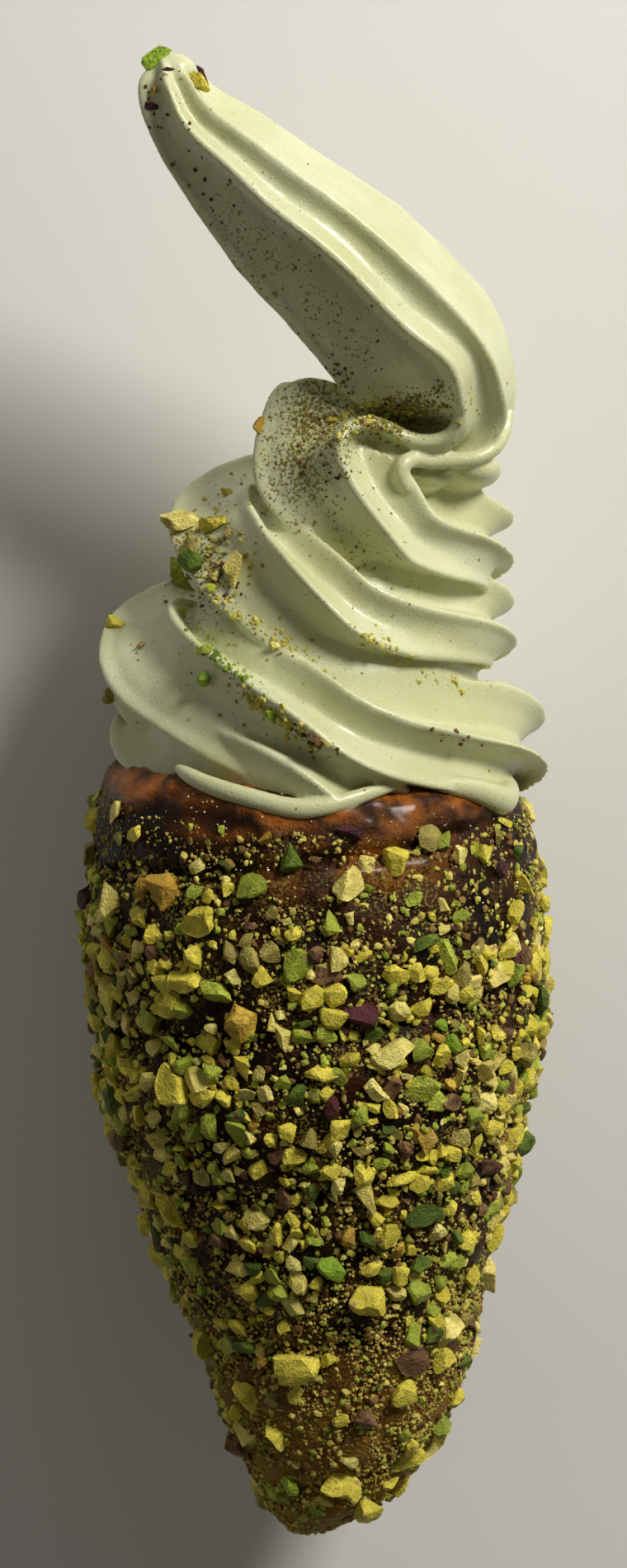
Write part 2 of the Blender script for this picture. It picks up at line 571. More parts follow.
def stations(table, per_station):
    """Even stations along a table, so many between two rows."""
    last = len(table) - 1
    return np.linspace(0, last, last * per_station + 1)


def bump(value, middle, width):
    """Bell-shaped rise from 0 to 1 and back round a middle."""
    return np.exp(-((value - middle) / width) ** 2)


def smooth(low, high, value):
    """Smooth step between two values; low may be the higher of the two."""
    share = np.clip((np.asarray(value, float) - low) / (high - low), 0, 1)
    return share * share * (3 - 2 * share)


def lumps(points, size, seed, waves=LUMP_WAVES):
    """Random smooth field over points, from about -1 to 1, with lumps of a size."""
    rng = np.random.default_rng(seed)
    heading = rng.normal(size=(waves, 3))
    heading /= np.linalg.norm(heading, axis=1)[:, None]
    pace = 2 * math.pi / (size * rng.uniform(*LUMP_SIZES, waves))
    phase = rng.uniform(0, 2 * math.pi, waves)
    total = np.zeros(len(points))
    for way, speed, start in zip(heading, pace, phase):
        total += np.sin(points @ (way * speed) + start)
    return total / math.sqrt(waves / 2) / LUMP_PEAK


def unit(rows):
    """Rows of vectors at length 1."""
    return rows / np.maximum(np.linalg.norm(rows, axis=1), 1e-12)[:, None]


def as_seen(points):
    """Where a look from the eye point to each point meets the plane of the axis."""
    share = EYE[2] / (EYE[2] - points[:, 2])
    return EYE + (points - EYE) * share[:, None]


# ---- Meshes ---------------------------------------------------------------------------

def new_piece(name, points, faces, shade=None):
    """Mesh object from points in millimetres of the axis frame and its faces."""
    placed = (np.asarray(points, float) + FRAME_SHIFT) * MM
    if isinstance(faces, list):
        sizes = np.array([len(f) for f in faces])
        corners = np.concatenate([np.asarray(f) for f in faces])
    else:
        sizes = np.full(len(faces), faces.shape[1])
        corners = faces.ravel()
    starts = np.concatenate([[0], np.cumsum(sizes)[:-1]])
    mesh = bpy.data.meshes.new(name)
    mesh.vertices.add(len(placed))
    mesh.vertices.foreach_set("co", placed.ravel())
    mesh.loops.add(len(corners))
    mesh.loops.foreach_set("vertex_index", corners.astype(np.int32))
    mesh.polygons.add(len(sizes))
    mesh.polygons.foreach_set("loop_start", starts.astype(np.int32))
    mesh.polygons.foreach_set("loop_total", sizes.astype(np.int32))
    mesh.update(calc_edges=True)
    if shade is not None:
        write_values(mesh, "tint", shade)
    mesh.validate()
    piece = bpy.data.objects.new(name, mesh)
    bpy.context.scene.collection.objects.link(piece)
    return piece


def write_values(mesh, name, values):
    """Stores one number for each corner of a mesh under a name."""
    layer = mesh.attributes.new(name, "FLOAT", "POINT")
    layer.data.foreach_set("value", np.asarray(values, np.float32))


def places_of(mesh):
    """Corners of a mesh in millimetres of the axis frame."""
    co = np.empty(len(mesh.vertices) * 3)
    mesh.vertices.foreach_get("co", co)
    return co.reshape(-1, 3) / MM - FRAME_SHIFT


def joined(name, pieces):
    """One mesh object out of several, whose own objects are taken away."""
    corners, faces, shades, first = [], [], [], 0
    for piece in pieces:
        mesh = piece.data
        index = np.empty(len(mesh.loops), np.int32)
        mesh.loops.foreach_get("vertex_index", index)
        shade = np.empty(len(mesh.vertices))
        mesh.attributes["tint"].data.foreach_get("value", shade)
        corners.append(places_of(mesh))
        faces.append(index.reshape(-1, 3) + first)
        shades.append(shade)
        first += len(shade)
        bpy.data.objects.remove(piece)
        bpy.data.meshes.remove(mesh)
    return new_piece(name, np.vstack(corners), np.vstack(faces), np.concatenate(shades))


def baked(piece):
    """Puts the piece's modifiers into its mesh."""
    graph = bpy.context.evaluated_depsgraph_get()
    graph.update()
    mesh = bpy.data.meshes.new_from_object(piece.evaluated_get(graph))
    old = piece.data
    piece.modifiers.clear()
    piece.data = mesh
    bpy.data.meshes.remove(old)
    mesh.name = piece.name


def shade_smooth(piece, smooth_faces=True):
    """Smooth or flat shading for the whole piece."""
    flags = np.full(len(piece.data.polygons), smooth_faces)
    piece.data.polygons.foreach_set("use_smooth", flags)
    piece.data.update()


def grid_faces(rows, columns):
    """Quads of a grid that closes round its columns."""
    row = np.arange(rows - 1)[:, None] * columns
    column = np.arange(columns)[None, :]
    after = (column + 1) % columns
    a = row + column
    b = row + after
    quads = np.stack([a, b, b + columns, a + columns], -1).reshape(-1, 4)
    return [tuple(f) for f in quads]


def capped_faces(rows, columns):
    """The same grid with a flat cap at each end."""
    first_cap = tuple(range(columns))[::-1]
    last_cap = tuple(range((rows - 1) * columns, rows * columns))
    return grid_faces(rows, columns) + [first_cap, last_cap]


def ball(level):
    """Unit ball of triangles: corners and faces."""
    g = (1 + math.sqrt(5)) / 2
    points = [(-1, g, 0), (1, g, 0), (-1, -g, 0), (1, -g, 0), (0, -1, g), (0, 1, g),
              (0, -1, -g), (0, 1, -g), (g, 0, -1), (g, 0, 1), (-g, 0, -1), (-g, 0, 1)]
    faces = [(0, 11, 5), (0, 5, 1), (0, 1, 7), (0, 7, 10), (0, 10, 11), (1, 5, 9), (5, 11, 4),
             (11, 10, 2), (10, 7, 6), (7, 1, 8), (3, 9, 4), (3, 4, 2), (3, 2, 6), (3, 6, 8),
             (3, 8, 9), (4, 9, 5), (2, 4, 11), (6, 2, 10), (8, 6, 7), (9, 8, 1)]
    points = [Vector(p).normalized() for p in points]
    for _ in range(level):
        middle = {}
        finer = []

        def between(a, b):
            key = (min(a, b), max(a, b))
            if key not in middle:
                middle[key] = len(points)
                points.append(((points[a] + points[b]) / 2).normalized())
            return middle[key]

        for a, b, c in faces:
            ab, bc, ca = between(a, b), between(b, c), between(c, a)
            finer += [(a, ab, ca), (b, bc, ab), (c, ca, bc), (ab, bc, ca)]
        faces = finer
    return np.array([tuple(p) for p in points]), np.array(faces)


# ---- Pastry form ----------------------------------------------------------------------

def band_phase(height, around):
    """Place across the wound dough strip, from one seam (0) to the next (1)."""
    turns = (height - BAND_SEAM) / BAND_PITCH - around / (2 * math.pi)
    return turns - np.floor(turns)


def band_swell(height, around):
    """Swell of the dough strip, as in the solid."""
    fade = smooth(*BAND_ONSET, height) * smooth(*BAND_END, height)
    arch = np.abs(np.sin(math.pi * band_phase(height, around))) ** 0.5
    return BAND_BULGE * fade * (arch - BAND_MEAN)


def profile_way(slope):
    """Outward direction of the profile: away from the axis and along it."""
    length = np.maximum(np.hypot(slope[:, 0], slope[:, 1]), 1e-9)
    return -slope[:, 1] / length, slope[:, 0] / length


def pastry_points(t, around):
    """Points on the pastry at profile stations t and directions round the axis."""
    value, slope = along(PASTRY_PROFILE, t)
    out_r, out_h = profile_way(slope)
    swell = np.where(t > RIM_END, band_swell(value[:, 1], around), 0)
    radius = np.maximum(value[:, 0] + out_r * swell, SMALLEST_RADIUS)
    height = value[:, 1] + out_h * swell
    x = value[:, 2] + radius * np.cos(around)
    tilt = -RIM_TILT * x * smooth(*TILTED, height)
    return np.stack([x, height + tilt, -radius * np.sin(around)], 1)


def pastry_normals(t, around):
    """Outward directions on the pastry."""
    step = 0.05
    a = pastry_points(t - step, around) - pastry_points(t + step, around)
    b = pastry_points(t, around - step) - pastry_points(t, around + step)
    return unit(np.cross(a, b))


def crust_relief(points, t, around, seam_depth, lump_height):
    """Height of the crust's seams and lumps over the plain pastry, in millimetres."""
    phase = band_phase(points[:, 1], around)
    from_seam = np.minimum(phase, 1 - phase) * BAND_PITCH
    on_body = smooth(RIM_END, BODY_START, t)
    relief = -seam_depth * np.exp(-(from_seam / SEAM_WIDTH) ** 2) * on_body
    for size, seed, share in CRUST_LUMPS:
        relief += share * lump_height * lumps(points, size, seed)
    return relief


# ---- Soft serve form ------------------------------------------------------------------

def bead_step(u, span, radius, width):
    """Drop beside the bead on both ridges of a flute, from 0 on the ridge to 1."""
    from_ridge = np.minimum(u, 1 - u) * np.radians(span) * radius
    return 1 - np.exp(-(from_ridge / width) ** BEAD_STEEPNESS)


def turned_up_to(points, normals):
    """Turns vectors by the smallest turn that brings +Y to each normal."""
    up = np.array([0.0, 1.0, 0.0])
    axis = np.cross(up, normals)
    cosine = normals[:, 1]
    dot = np.einsum("nj,nkj->nk", axis, points)
    side = np.cross(axis[:, None, :], points)
    share = 1 / (1 + cosine)
    return (points * cosine[:, None, None] + side
            + axis[:, None, :] * (dot * share[:, None])[:, :, None])


def ridge_turns(t, turn, right_turn):
    """Directions of the ridges at stations t; the first one comes again at the end."""
    ridge = RIDGES[None, :] + turn[:, None]
    ridge[:, RIGHT_RIDGE] += right_turn
    for station, width, degrees in FRONT_TURNS:
        ridge[:, FRONT_RIDGE] += degrees * bump(t, station, width)
    return np.hstack([ridge, ridge[:, :1] + 360])


def flute_cuts(t, u, span, value, in_coils):
    """How deep the flutes are cut, as a share of the rope's radius."""
    share = np.clip(span / FULL_FLUTE, SHALLOWEST, 1)
    share[:, LEFT_FLUTE] *= value[:, 6]
    share[:, RIGHT_FLUTE] *= 1 + (RIGHT_FLUTE_DEPTH - 1) * in_coils
    full = np.ones_like(share)
    for flute, station, width, fill in FLUTE_FILLS:
        full[:, flute] *= 1 - fill * bump(t, station, width)
    thick = value[:, 3][:, None, None]
    right = smooth(*RIGHT_SIDE, value[:, 0]) * in_coils
    right = right[:, None, None]
    power = HOLLOW_POWER + (RIGHT_POWER - HOLLOW_POWER) * right
    width = BEAD_WIDTH * (1 + (RIGHT_BEAD - 1) * right)
    hollow = FLUTE_DEPTH * HOLLOW_SHARE * (share * full)[:, :, None]
    hollow = hollow * np.sin(math.pi * u) ** power
    bead = bead_step(u, span[:, :, None], thick, width)
    bead = np.minimum(BEAD_HEIGHT / thick, BEAD_LIMIT) * bead
    return hollow + bead * full[:, :, None]


def rope_rings(t, per_flute, scale, push):
    """Sections of the rope at stations t. The ridges keep their direction in space."""
    value, slope = along(ROPE, t)
    centre, radius = value[:, :3], value[:, 3]
    upright = np.clip(value[:, 7], 0, 1)[:, None]
    heading = unit(slope[:, :3])
    normal = unit(heading * (1 - upright) + np.array([0, 1, 0]) * upright)
    in_coils = 1 - smooth(COILS_END, COILS_END + 1, t)
    ridge = ridge_turns(t, value[:, 4], value[:, 5])
    u = np.arange(per_flute) / per_flute
    start, span = ridge[:, :-1], np.diff(ridge, axis=1)
    degrees = start[:, :, None] + u * span[:, :, None]
    cut = flute_cuts(t, u, span, value, in_coils)
    from_left = degrees - ridge[:, LEFT_FLUTE][:, None, None]
    grow = SHOULDER_GROW * bump(t, SHOULDER_STATION, SHOULDER_WIDTH)[:, None, None]
    grow = grow * bump(from_left, 0, SHOULDER_SPREAD)
    reach = (radius * scale)[:, None, None] * (1 - cut) * (1 + grow)
    around = np.radians(degrees).reshape(len(value), -1)
    reach = reach.reshape(len(value), -1)
    flat = np.zeros_like(reach)
    points = np.stack([np.cos(around) * reach, flat, -np.sin(around) * reach], -1)
    points = turned_up_to(points, normal)
    inward = unit(np.stack([COILS_MIDDLE - centre[:, 0], 0 * centre[:, 1], -centre[:, 2]], 1))
    facing = np.einsum("nkj,nj->nk", points, inward)
    facing = np.maximum(facing / np.maximum(np.linalg.norm(points, axis=2), 1e-9), 0)
    flatness = INNER_FLAT * in_coils
    points = points * (1 - flatness[:, None] * facing ** 2)[:, :, None]
    return points + centre[:, None, :] + (heading * push[:, None])[:, None, :]


def nudged(points):
    """Points of the swirl's front with the small shifts of the fold."""
    seen = as_seen(points)
    moved = points.copy()
    for x, y, reach, right, up, depth in NUDGES:
        near = bump(seen[:, 0], x, reach) * bump(seen[:, 1], y, reach)
        near = near * smooth(depth, depth + NUDGE_ONSET, points[:, 2])
        moved += near[:, None] * np.array([right, up, 0.0])
    return moved


def rope_mesh():
    """The whole rope as one closed tube with a blunt end."""
    t = stations(ROPE, ROPE_STEPS)
    plain = len(t)
    t = np.concatenate([t, np.full(len(ROPE_NOSE), t[-1])])
    scale, push = np.ones_like(t), np.zeros_like(t)
    scale[plain:] = [share for share, _ in ROPE_NOSE]
    push[plain:] = [past for _, past in ROPE_NOSE]
    rings = rope_rings(t, FLUTE_STEPS, scale, push)
    count, sides = rings.shape[:2]
    points = nudged(rings.reshape(-1, 3))
    wobble = sum(lumps(points, size, seed) * height for size, seed, height in SWIRL_LUMPS)
    centre = np.repeat(rings.mean(axis=1), sides, axis=0)
    points = points + unit(points - centre) * wobble[:, None]
    ends = np.array([rings[0].mean(axis=0), rings[-1].mean(axis=0)])
    faces = grid_faces(count, sides)
    first, top = count * sides, count * sides + 1
    for k in range(sides):
        after = (k + 1) % sides
        faces.append((first, after, k))
        faces.append((top, (count - 1) * sides + k, (count - 1) * sides + after))
    return np.vstack([points, ends]), faces


def lip_mesh(rows):
    """A rolled lip as a closed tube round the rim."""
    value, _ = along(rows, stations(rows, LIP_STEPS))
    angle = np.radians(value[:, 0])
    outward = np.stack([np.sin(angle), 0 * angle, np.cos(angle)], 1)
    middle = outward * value[:, 1:2] + np.array([0, 1, 0]) * value[:, 2:3]
    turn = np.linspace(0, 2 * math.pi, LIP_SIDES, endpoint=False)
    wide = (np.cos(turn) * value[:, 3:4])[:, :, None]
    tall = (np.sin(turn) * value[:, 3:4] * LIP_TALLNESS)[:, :, None]
    rings = middle[:, None, :] + outward[:, None, :] * wide + np.array([0, 1.0, 0]) * tall
    return rings.reshape(-1, 3), capped_faces(len(rings), LIP_SIDES)


def bead_mesh(rows):
    """A closed tube through rows of x, y, z and radius."""
    value, slope = along(rows, stations(rows, TUBE_STEPS))
    heading = unit(slope[:, :3])
    side = unit(np.cross(heading, np.array([0.0, 0.0, 1.0])))
    other = np.cross(side, heading)
    turn = np.linspace(0, 2 * math.pi, TUBE_SIDES, endpoint=False)
    rings = (value[:, None, :3] + side[:, None, :] * (np.cos(turn) * value[:, 3:4])[:, :, None]
             + other[:, None, :] * (np.sin(turn) * value[:, 3:4])[:, :, None])
    return rings.reshape(-1, 3), capped_faces(len(rings), TUBE_SIDES)


def filling_mesh(middle, reach):
    """A rounded filling."""
    points, faces = ball(FILLING_LEVEL)
    return points * np.array(reach) + np.array(middle), [tuple(f) for f in faces]


def drum_mesh(levels):
    """Closed round filling through levels of radius, height and sideways drift."""
    around = np.linspace(0, 2 * math.pi, DRUM_SIDES, endpoint=False)
    rings = []
    for radius, height, drift in levels:
        x, z = drift + radius * np.cos(around), -radius * np.sin(around)
        rings.append(np.stack([x, np.full(DRUM_SIDES, height), z], 1))
    return np.vstack(rings), capped_faces(len(levels), DRUM_SIDES)


# ---- Chopped nuts and grains ----------------------------------------------------------

def chip_shapes(detail, count, seed):
    """Chopped lumps: uneven balls with flat faces where a knife went through."""
    level, cuts = detail
    points, faces = ball(level)
    rng = np.random.default_rng(seed)
    shapes = []
    for k in range(count):
        own_seed = seed * CHIP_SEED_STEP + k
        uneven = CHIP_LUMP_HEIGHT * lumps(points, CHIP_LUMP_SIZE, own_seed, CHIP_WAVES)
        p = points * (1 + uneven)[:, None]
        for _ in range(cuts):
            way = rng.normal(size=3)
            way /= np.linalg.norm(way)
            beyond = np.maximum(p @ way - rng.uniform(*CHIP_CUT), 0)
            p = p - way * beyond[:, None]
        p = p / np.abs(p).max(axis=0)
        grain_seed = own_seed + GRAIN_SEED_SHIFT
        rough = CHIP_ROUGHNESS * lumps(points, CHIP_GRAIN_SIZE, grain_seed, CHIP_WAVES)
        shapes.append(p * (1 + rough)[:, None])
    return shapes, faces


def frames_on(normals, spin, lean):
    """Turns that lay a chip flat on a surface, spun and leaned."""
    facing_z = np.abs(normals[:, 2:3]) >= FACING_Z
    helper = np.where(facing_z, [[1.0, 0.0, 0.0]], [[0.0, 0.0, 1.0]])
    a = unit(np.cross(helper, normals))
    b = np.cross(normals, a)
    x = a * np.cos(spin)[:, None] + b * np.sin(spin)[:, None]
    y = -a * np.sin(spin)[:, None] + b * np.cos(spin)[:, None]
    tipped_y = y * np.cos(lean)[:, None] + normals * np.sin(lean)[:, None]
    tipped_z = normals * np.cos(lean)[:, None] - y * np.sin(lean)[:, None]
    return np.stack([x, tipped_y, tipped_z], 2)


def random_frames(rng, normals, lean):
    """Turns on a surface with a random spin and a random lean up to a limit."""
    count = len(normals)
    spin = rng.uniform(0, 2 * math.pi, count)
    return frames_on(normals, spin, rng.uniform(-lean, lean, count))


def flat_piece(name, points, faces, shade):
    """One piece with flat faces out of many copies of a mesh, each with its own shade."""
    count, corners = points.shape[:2]
    offsets = np.arange(count)[:, None, None] * corners
    triangles = (faces[None, :, :] + offsets).reshape(-1, 3)
    piece = new_piece(name, points.reshape(-1, 3), triangles, np.repeat(shade, corners))
    shade_smooth(piece, False)
    return piece


def chips(name, at, normals, lengths, stand_out, detail, seed):
    """One piece of many chips that lie on a surface."""
    rng = np.random.default_rng(seed)
    shapes, faces = chip_shapes(detail, CHIP_SHAPES, seed)
    count = len(at)
    turn = random_frames(rng, normals, CHIP_LEAN)
    which = rng.integers(0, len(shapes), count)
    stretch = np.array(CHIP_FLATNESS)[None, :] * rng.uniform(*CHIP_STRETCH, (count, 3))
    local = np.stack(shapes)[which] * (stretch * lengths[:, None])[:, None, :]
    points = np.einsum("nij,nkj->nki", turn, local)
    points += (at + normals * (stand_out * lengths)[:, None])[:, None, :]
    points[:, :, 2] = np.maximum(points[:, :, 2], -LYING_HEIGHT + CHIP_GAP)
    return flat_piece(name, points, faces, rng.uniform(0, 1, count))


def laid_chips(name, rows, seed):
    """One piece of larger chips, each with its own sizes and direction in the view."""
    shapes, faces = chip_shapes(LAID_CHIP, LAID_SHAPES, seed)
    points, shade = [], []
    for k, (at, normal, size, degrees) in enumerate(rows):
        up = unit((normal + TURN_TO_EYE * TO_EYE)[None])[0]
        way = np.array([math.cos(math.radians(degrees)), math.sin(math.radians(degrees)), 0])
        x = unit((way - up * (way @ up))[None])[0]
        y = np.cross(up, x)
        local = shapes[k % len(shapes)] * (np.array(size) / 2)
        points.append(local @ np.array([x, y, up]) + at)
        shade.append((k * SHADE_STEP + SHADE_START) % 1)
    return flat_piece(name, np.stack(points), faces, np.array(shade))


def grains(name, at, normals, lengths, seed):
    """One piece of tiny eight-sided grains."""
    rng = np.random.default_rng(seed)
    turn = random_frames(rng, normals, GRAIN_LEAN)
    reach = rng.uniform(*GRAIN_REACH, (len(at), len(GRAIN_CORNERS), 1))
    local = GRAIN_CORNERS[None] * reach * lengths[:, None, None]
    points = np.einsum("nij,nkj->nki", turn, local) + at[:, None, :]
    points[:, :, 2] = np.maximum(points[:, :, 2], -LYING_HEIGHT + GRAIN_GAP)
    return flat_piece(name, points, GRAIN_FACES, rng.uniform(0, 1, len(at)))


# ---- Places for nuts, crumbs and dust -------------------------------------------------

def coating_nuts():
    """The nuts that the pastry's solid has: places, directions and lengths."""
    random = seeded(NUT_SEED)
    last_station = len(PASTRY_PROFILE) - NUT_TIP_STATIONS
    found, lengths = [], []
    for n in range(NUT_COUNT):
        share = 1 - n / (NUT_COUNT - 1)
        length = NUT_SMALLEST + (NUT_LARGEST - NUT_SMALLEST) * share ** NUT_SPREAD
        for _ in range(NUT_TRIES):
            t = BODY_START + random() * (last_station - BODY_START)
            around = random() * math.pi * 2
            keep = random()
            at = pastry_points(np.array([t]), np.array([around]))[0]
            if keep > math.hypot(at[0], at[2]) / WIDEST:
                continue
            if at[1] > NUT_TOP - NUT_REACH * length or at[1] < NUT_BOTTOM:
                continue
            if at[2] < -LYING_HEIGHT + NUT_CLEARANCE:
                continue
            if found:
                near = np.linalg.norm(np.array([f[0] for f in found]) - at, axis=1)
                if np.any(near < NUT_SPACING * (np.array(lengths) + length)):
                    continue
            found.append((at, t, around))
            lengths.append(length)
            break
    at = np.array([f[0] for f in found])
    normals = pastry_normals(np.array([f[1] for f in found]), np.array([f[2] for f in found]))
    return at, normals, np.array(lengths)


def fitting_between(at, lengths, more_at, more_lengths):
    """Which of more nuts fit between those at hand, the longest tried first."""
    all_at, all_lengths = list(at), list(lengths)
    chosen = []
    for k in np.argsort(-more_lengths):
        near = np.linalg.norm(np.array(all_at) - more_at[k], axis=1)
        if np.all(near > SMALL_SPACING * (np.array(all_lengths) + more_lengths[k])):
            chosen.append(k)
            all_at.append(more_at[k])
            all_lengths.append(more_lengths[k])
    return np.array(chosen, int)


def scattered(count, seed, stretch=COATED):
    """Random places spread evenly over a stretch of the pastry's outside."""
    rng = np.random.default_rng(seed)
    tries = count * SPARE_TRIES
    t = rng.uniform(*stretch, tries)
    around = rng.uniform(0, 2 * math.pi, tries)
    value, slope = along(PASTRY_PROFILE, t)
    area = value[:, 0] * np.hypot(slope[:, 0], slope[:, 1])
    kept = rng.uniform(0, area.max(), tries) < area
    t, around = t[kept][:count], around[kept][:count]
    return pastry_points(t, around), pastry_normals(t, around)


def random_lengths(rng, count, sizes):
    """Lengths of which the short ones are common: shortest, range and power."""
    shortest, spread, power = sizes
    return shortest + spread * rng.uniform(0, 1, count) ** power


def thickness(rng, at, patches):
    """Random thickness of a coating: share, size and seed of its patches, share of noise."""
    share, size, seed, noise = patches
    return share * lumps(at, size, seed) + noise * rng.normal(size=len(at))


def change(at, rule):
    """Change of a coating's level along the axis: from where, to where, amount."""
    start, end, amount = rule
    return amount * smooth(start, end, at[:, 1])


def bare_share(at):
    """How nearly bare the crust is at places, from 0 to 1."""
    x, y, wide, high = BARE_CRUST
    return bump(at[:, 0], x, wide) * bump(at[:, 1], y, high) * (at[:, 2] > 0)


def above_floor(at, clearance):
    """Whether places are higher than a clearance over the floor."""
    return at[:, 2] > -LYING_HEIGHT + clearance


def surface_of(name):
    """Search tree over a made piece, in metres."""
    return BVHTree.FromObject(bpy.data.objects[name], bpy.context.evaluated_depsgraph_get())


def seen_on(tree, x, y):
    """Where a look from the eye point through x, y on the axis plane meets a surface."""
    aim = np.array([x, y, 0.0]) - EYE
    start = Vector((EYE + FRAME_SHIFT) * MM)
    hit, normal, _, _ = tree.ray_cast(start, Vector(aim).normalized())
    if hit is None:
        return None
    return np.array(hit) / MM - FRAME_SHIFT, np.array(normal)


def laid_on(tree, bits):
    """Places, directions, sizes and turns of bits that lie on a surface as seen."""
    rows = []
    for x, y, length, width, height, degrees, stand_out, _ in bits:
        looks = [seen_on(tree, x + LOOK_STEP * step, y) for step in range(LOOKS)]
        at, normal = next(seen for seen in looks if seen is not None)
        rows.append((at + normal * stand_out * length, normal, (length, width, height), degrees))
    return rows


def settled_dust(piece):
    """Writes to each point of the swirl how much dust has settled there."""
    mesh = piece.data
    way = np.empty(len(mesh.vertices) * 3)
    mesh.vertices.foreach_get("normal", way)
    seen = as_seen(places_of(mesh))
    facing = smooth(0, DUST_FACING, way.reshape(-1, 3)[:, 2])
    dust = np.zeros(len(seen))
    for x, y, wide, high, turn, amount in DUST_STAINS:
        a = math.radians(turn)
        u = (seen[:, 0] - x) * math.cos(a) + (seen[:, 1] - y) * math.sin(a)
        v = (seen[:, 1] - y) * math.cos(a) - (seen[:, 0] - x) * math.sin(a)
        dust = np.maximum(dust, amount * np.exp(-(u / wide) ** 2 - (v / high) ** 2))
    write_values(mesh, "dust", dust * facing)


def drifted_dust(tree, rng):
    """Places, directions and lengths of the drifting crumbs and dust, by kind."""
    spots = {kind: [] for kind in DUST_COLOURS}
    for x, y, wide, high, turn, count, short, long, kind in DUST_DRIFTS:
        a = math.radians(turn)
        for _ in range(count):
            u, v = rng.normal() * wide, rng.normal() * high
            size = short + (long - short) * rng.uniform() ** 2
            seen = seen_on(tree, x + u * math.cos(a) - v * math.sin(a),
                           y + u * math.sin(a) + v * math.cos(a))
            if seen is not None:
                spots[kind].append((*seen, size))
    return {kind: [np.array(column) for column in zip(*rows)] for kind, rows in spots.items()}


# ---- Materials ------------------------------------------------------------------------

def node(tree, kind, **settings):
    """Shader node with its properties set."""
    made = tree.nodes.new(kind)
    for key, value in settings.items():
        setattr(made, key, value)
    return made


def feed(tree, socket, value):
    """Links another socket to a socket, or sets it to a number or a colour."""
    if hasattr(value, "default_value"):
        tree.links.new(value, socket)
    elif isinstance(value, tuple):
        socket.default_value = (*value, 1)
    else:
        socket.default_value = value


def speckle_group():
    """Fine mottling that several foods share: a mask and a height."""
    name = "food_mottling"
    if name in bpy.data.node_groups:
        return bpy.data.node_groups[name]
    group = bpy.data.node_groups.new(name, "ShaderNodeTree")
    for socket in ("Size", "Detail", "Low", "High"):
        group.interface.new_socket(socket, in_out="INPUT", socket_type="NodeSocketFloat")
    for socket in ("Mask", "Height"):
        group.interface.new_socket(socket, in_out="OUTPUT", socket_type="NodeSocketFloat")
    inside = node(group, "NodeGroupInput")
    outside = node(group, "NodeGroupOutput")
    place = node(group, "ShaderNodeTexCoord")
    noise = node(group, "ShaderNodeTexNoise")
    ramp = node(group, "ShaderNodeMapRange", interpolation_type="SMOOTHSTEP")
    link = group.links.new
    link(place.outputs["Object"], noise.inputs["Vector"])
    link(inside.outputs["Size"], noise.inputs["Scale"])
    link(inside.outputs["Detail"], noise.inputs["Detail"])
    link(noise.outputs["Fac"], ramp.inputs["Value"])
    link(inside.outputs["Low"], ramp.inputs["From Min"])
    link(inside.outputs["High"], ramp.inputs["From Max"])
    link(ramp.outputs["Result"], outside.inputs["Mask"])
    link(noise.outputs["Fac"], outside.inputs["Height"])
    return group


def mottling(tree, size, detail, low, high):
    """One use of the shared mottling with its own values: its mask and its height."""
    made = node(tree, "ShaderNodeGroup", node_tree=speckle_group())
    for key, value in (("Size", size), ("Detail", detail), ("Low", low), ("High", high)):
        made.inputs[key].default_value = value
    return made.outputs["Mask"], made.outputs["Height"]


def blended(tree, mask, first, second):
    """Colour between two others by a mask. Each may be a colour or a socket."""
    mix = node(tree, "ShaderNodeMix", data_type="RGBA")
    feed(tree, mix.inputs["Factor"], mask)
    for key, value in (("A", first), ("B", second)):
        feed(tree, [s for s in mix.inputs if s.name == key and s.type == "RGBA"][0], value)
    return [s for s in mix.outputs if s.type == "RGBA"][0]


def combined(tree, operation, *terms):
    """Result of a calculation with sockets and numbers."""
    made = node(tree, "ShaderNodeMath", operation=operation)
    for socket, term in zip(made.inputs, terms):
        feed(tree, socket, term)
    return made.outputs["Value"]


def ranged(tree, value, low, high):
    """Smooth share from 0 to 1 between two values; low may be the higher of the two."""
    made = node(tree, "ShaderNodeMapRange", interpolation_type="SMOOTHSTEP")
    made.inputs["From Min"].default_value = low
    made.inputs["From Max"].default_value = high
    feed(tree, made.inputs["Value"], value)
    return made.outputs["Result"]


def stored(tree, name):
    """The number that the mesh stores under a name."""
    return node(tree, "ShaderNodeAttribute", attribute_name=name).outputs["Fac"]


def new_material(name, roughness, subsurface=0.0, radius=(1, 1, 1), scale=0.001, coat=0.0,
                 coat_roughness=0.3, specular=0.5):
    """Principled material; returns the material, its tree and its shader."""
    material = bpy.data.materials.new(name)
    material.use_nodes = True
    tree = material.node_tree
    shader = tree.nodes["Principled BSDF"]
    shader.inputs["Roughness"].default_value = roughness
    shader.inputs["Subsurface Weight"].default_value = subsurface
    shader.inputs["Subsurface Radius"].default_value = radius
    shader.inputs["Subsurface Scale"].default_value = scale
    shader.inputs["Coat Weight"].default_value = coat
    shader.inputs["Coat Roughness"].default_value = coat_roughness
    shader.inputs["Specular IOR Level"].default_value = specular
    return material, tree, shader


def add_bump(tree, shader, height, distance, strength):
    """Fine relief from a height socket, distance in metres."""
    relief = node(tree, "ShaderNodeBump")
    relief.inputs["Distance"].default_value = distance
    relief.inputs["Strength"].default_value = strength
    feed(tree, relief.inputs["Height"], height)
    feed(tree, shader.inputs["Normal"], relief.outputs["Normal"])


